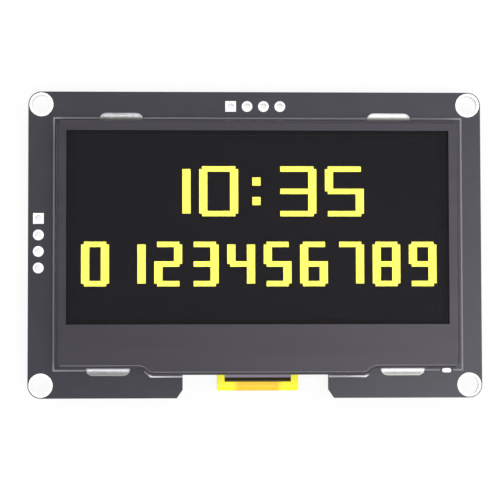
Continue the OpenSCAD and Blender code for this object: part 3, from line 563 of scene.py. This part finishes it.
def vias(places, material):
    """Tented vias: shallow domes in the mask."""
    shape = bmesh.new()
    for x, y in places:
        squash = Matrix.Translation((x, y, BOARD_LOW.z)) @ Matrix.Diagonal((1, 1, VIA_RISE, 1))
        bmesh.ops.create_uvsphere(shape, u_segments=20, v_segments=10, radius=VIA_RADIUS, matrix=squash)
    show("vias", finished("vias", shape), [material])


def masked_copper():
    """The mask where it lies over copper: a shade paler."""
    pale = (0.066, 0.064, 0.072)
    dark = (0.05, 0.049, 0.058)
    f = Finish("mask over copper", dark, 0.2)
    f.color(f.blend(f.patches(900, 3), dark, pale))
    f.bump(f.noise(1800, 3), FINE)
    return f.material


def resistor_tracks(pads):
    """From the side header to the outer resistors, and from the inner ones to the flex's pads."""
    ends = islands("resistor_ends")
    middle = sum(c.x for c in ends) / len(ends)
    outer = sorted((c.y, c.x) for c in ends if c.x < middle)
    inner = sorted((c.y, c.x) for c in ends if c.x > middle)
    header = sorted((c.y, c.x) for c in islands("side_header_pads"))
    paths = [elbow(start[::-1], end[::-1]) for start, end in zip(header, outer[1::2])]
    bottom = pads[0].y
    for k, (end_y, end_x) in enumerate(inner[0::2]):
        level = bottom + BUS_START + k * BUS_PITCH
        column = inner[0][1] + BUS_COLUMN + k * BUS_PITCH
        start = pads[2 * k].x
        paths.append([
            (start, bottom), (start, level - BUS_CORNER), (start - BUS_CORNER, level),
            (column + BUS_CORNER, level), (column, level + BUS_CORNER), (column, end_y - BUS_CORNER),
            (column - BUS_CORNER, end_y), (end_x, end_y),
        ])
    return paths


def capacitor_tracks(pads):
    """The small capacitors' lower ends to the flex's pads, and stubs to a via above the upper ends."""
    ends = islands("small_capacitor_ends")
    middle = sum(c.y for c in ends) / len(ends)
    fine, stubs = [], []
    for c in ends:
        if c.y > middle:
            stubs.append([(c.x, c.y), (c.x, c.y + STUB)])
        else:
            pad = min(pads, key=lambda p: abs(p.x - c.x))
            fine.append([(pad.x, pads[0].y), (pad.x, c.y - abs(pad.x - c.x)), (c.x, c.y)])
    return fine, stubs


def supply_tracks():
    """From the top header to the parts of the panel's supply."""
    starts = [(c.x, c.y) for c in islands("top_header_pads")]
    targets = [islands("diode_leads")[0], islands("inductor_terminals")[0]]
    targets += [upper_left("boost_chip_leads"), upper_left("regulator_leads")]
    return [elbow(start, (end.x, end.y)) for start, end in zip(starts, targets)]


def back_copper():
    """Tracks and vias under the mask on the board's back."""
    material = masked_copper()
    pads = islands("flex_pads")
    fine, stubs = capacitor_tracks(pads)
    places = [(x, y + VIA_PAST) for start, (x, y) in stubs]
    for x, y in STITCH_ROWS:
        places += [(BOARD_LOW.x + x + k * STITCH_PITCH, BOARD_LOW.y + y) for k in range(STITCHES)]
    tracks("fine_tracks", resistor_tracks(pads) + fine, FINE_RADIUS, material)
    tracks("power_tracks", stubs + supply_tracks(), POWER_RADIUS, material)
    vias(places, material)


lower_lit_dots()
back_copper()


# ---- Floor, light and camera ----


FLOOR_SIZE = 3.0
FLOOR_GLOW = 0.9  # share of plain white in what is seen of the floor; the rest keeps the shadow


def floor():
    """Pale plain floor that keeps a soft shadow and looks white behind the object."""
    mesh = bmesh.new()
    bmesh.ops.create_grid(mesh, x_segments=1, y_segments=1, size=FLOOR_SIZE)
    data = bpy.data.meshes.new("floor")
    mesh.to_mesh(data)
    mesh.free()
    made = bpy.data.objects.new("floor", data)
    bpy.context.scene.collection.objects.link(made)
    made.location.z = cad_box[0][2]
    f = Finish("floor", (0.92, 0.92, 0.92), 0.9)
    paths = f.node("ShaderNodeLightPath")
    seen = f.math("MAXIMUM", paths.outputs["Is Camera Ray"], paths.outputs["Is Glossy Ray"])
    seen = f.math("MAXIMUM", seen, paths.outputs["Is Transmission Ray"])
    glow = f.node("ShaderNodeEmission", Strength=1.0)
    mix = f.node("ShaderNodeMixShader")
    f.link(f.math("MULTIPLY", seen, FLOOR_GLOW), mix.inputs[0])
    f.link(f.shader.outputs[0], mix.inputs[1])
    f.link(glow.outputs[0], mix.inputs[2])
    f.link(mix.outputs[0], f.output.inputs["Surface"])
    data.materials.append(f.material)


# Ranges of the light's direction, each with the strengths at its two ends
WIDE_X = (-0.3, 0.5, 0.425, 0.74)
REAR_Y = (0.05, 0.13, 0.0, 0.28)
PATCH_X = (-0.03, 0.2, 0.0, 2.35)
PATCH_FADE = (0.0, 0.15, 1.0, 0.1)
FRONT_START = (-0.16, -0.24, 0.0, 6.6)
FRONT_END = (-0.38, -0.5, 1.0, 0.0)
FRONT_LEFT = (-0.45, -0.3, 0.0, 1.0)
FRONT_RIGHT = (0.4, 0.55, 1.0, 0.0)
OVERHEAD = (0.75, 0.9, 0.0, 1.0)


def surroundings():
    """Even light all round, with a brighter patch overhead that leans to the right and to the front."""
    world = bpy.data.worlds.new("studio")
    bpy.context.scene.world = world
    world.use_nodes = True
    tree = world.node_tree
    tree.nodes.clear()
    coords = tree.nodes.new("ShaderNodeTexCoord")
    split = tree.nodes.new("ShaderNodeSeparateXYZ")
    tree.links.new(coords.outputs["Generated"], split.inputs[0])

    def rise(axis, low, high, out_low=0.0, out_high=1.0):
        made = tree.nodes.new("ShaderNodeMapRange")
        made.interpolation_type = "SMOOTHSTEP"
        tree.links.new(split.outputs[axis], made.inputs["Value"])
        for key, number in (
            ("From Min", low), ("From Max", high), ("To Min", out_low), ("To Max", out_high),
        ):
            made.inputs[key].default_value = number
        return made.outputs["Result"]

    def join(operation, a, b):
        made = tree.nodes.new("ShaderNodeMath")
        made.operation = operation
        tree.links.new(a, made.inputs[0])
        tree.links.new(b, made.inputs[1])
        return made.outputs[0]

    patch = join("MULTIPLY", rise("X", *PATCH_X), rise("Y", *PATCH_FADE))
    front = join("MULTIPLY", rise("Y", *FRONT_START), rise("Y", *FRONT_END))
    sides = join("MULTIPLY", rise("X", *FRONT_LEFT), rise("X", *FRONT_RIGHT))
    patch = join("MAXIMUM", patch, join("MULTIPLY", front, sides))
    patch = join("MULTIPLY", patch, rise("Z", *OVERHEAD))
    level = join("ADD", rise("X", *WIDE_X), rise("Y", *REAR_Y))
    level = join("ADD", level, patch)
    shade = tree.nodes.new("ShaderNodeBackground")
    shade.inputs["Color"].default_value = (0.985, 0.98, 1.0, 1)
    output = tree.nodes.new("ShaderNodeOutputWorld")
    tree.links.new(level, shade.inputs["Strength"])
    tree.links.new(shade.outputs[0], output.inputs["Surface"])


def softbox(name, place, size, strength, target=(0, 0, 0)):
    data = bpy.data.lights.new(name, "AREA")
    data.shape = "RECTANGLE"
    data.size, data.size_y = size
    data.energy = strength
    made = bpy.data.objects.new(name, data)
    bpy.context.scene.collection.objects.link(made)
    made.location = place
    made.rotation_euler = (Vector(target) - Vector(place)).to_track_quat("-Z", "Y").to_euler()


CAMERA_TILT = (3.002, -2.355)  # degrees the camera leans towards -Y and -X
CAMERA_RANGE = 308.56 * MM
CAMERA_AIM = (-0.857 * MM, -0.847 * MM)
CAMERA_LENS = 144


def camera():
    data = bpy.data.cameras.new("camera")
    data.lens = CAMERA_LENS
    data.clip_start = 0.01
    turn = Euler((math.radians(CAMERA_TILT[0]), math.radians(CAMERA_TILT[1]), 0), "ZYX").to_matrix()
    aim = Vector((*CAMERA_AIM, BOARD_HIGH.z))
    made = bpy.data.objects.new("camera", data)
    bpy.context.scene.collection.objects.link(made)
    made.matrix_world = Matrix.Translation(aim + turn @ Vector((0, 0, CAMERA_RANGE))) @ turn.to_4x4()
    bpy.context.scene.camera = made


floor()
surroundings()
softbox("key light", (0.5, -0.25, 0.5), (0.25, 0.25), 0.3)
camera()

bpy.context.scene.view_settings.view_transform = "Standard"
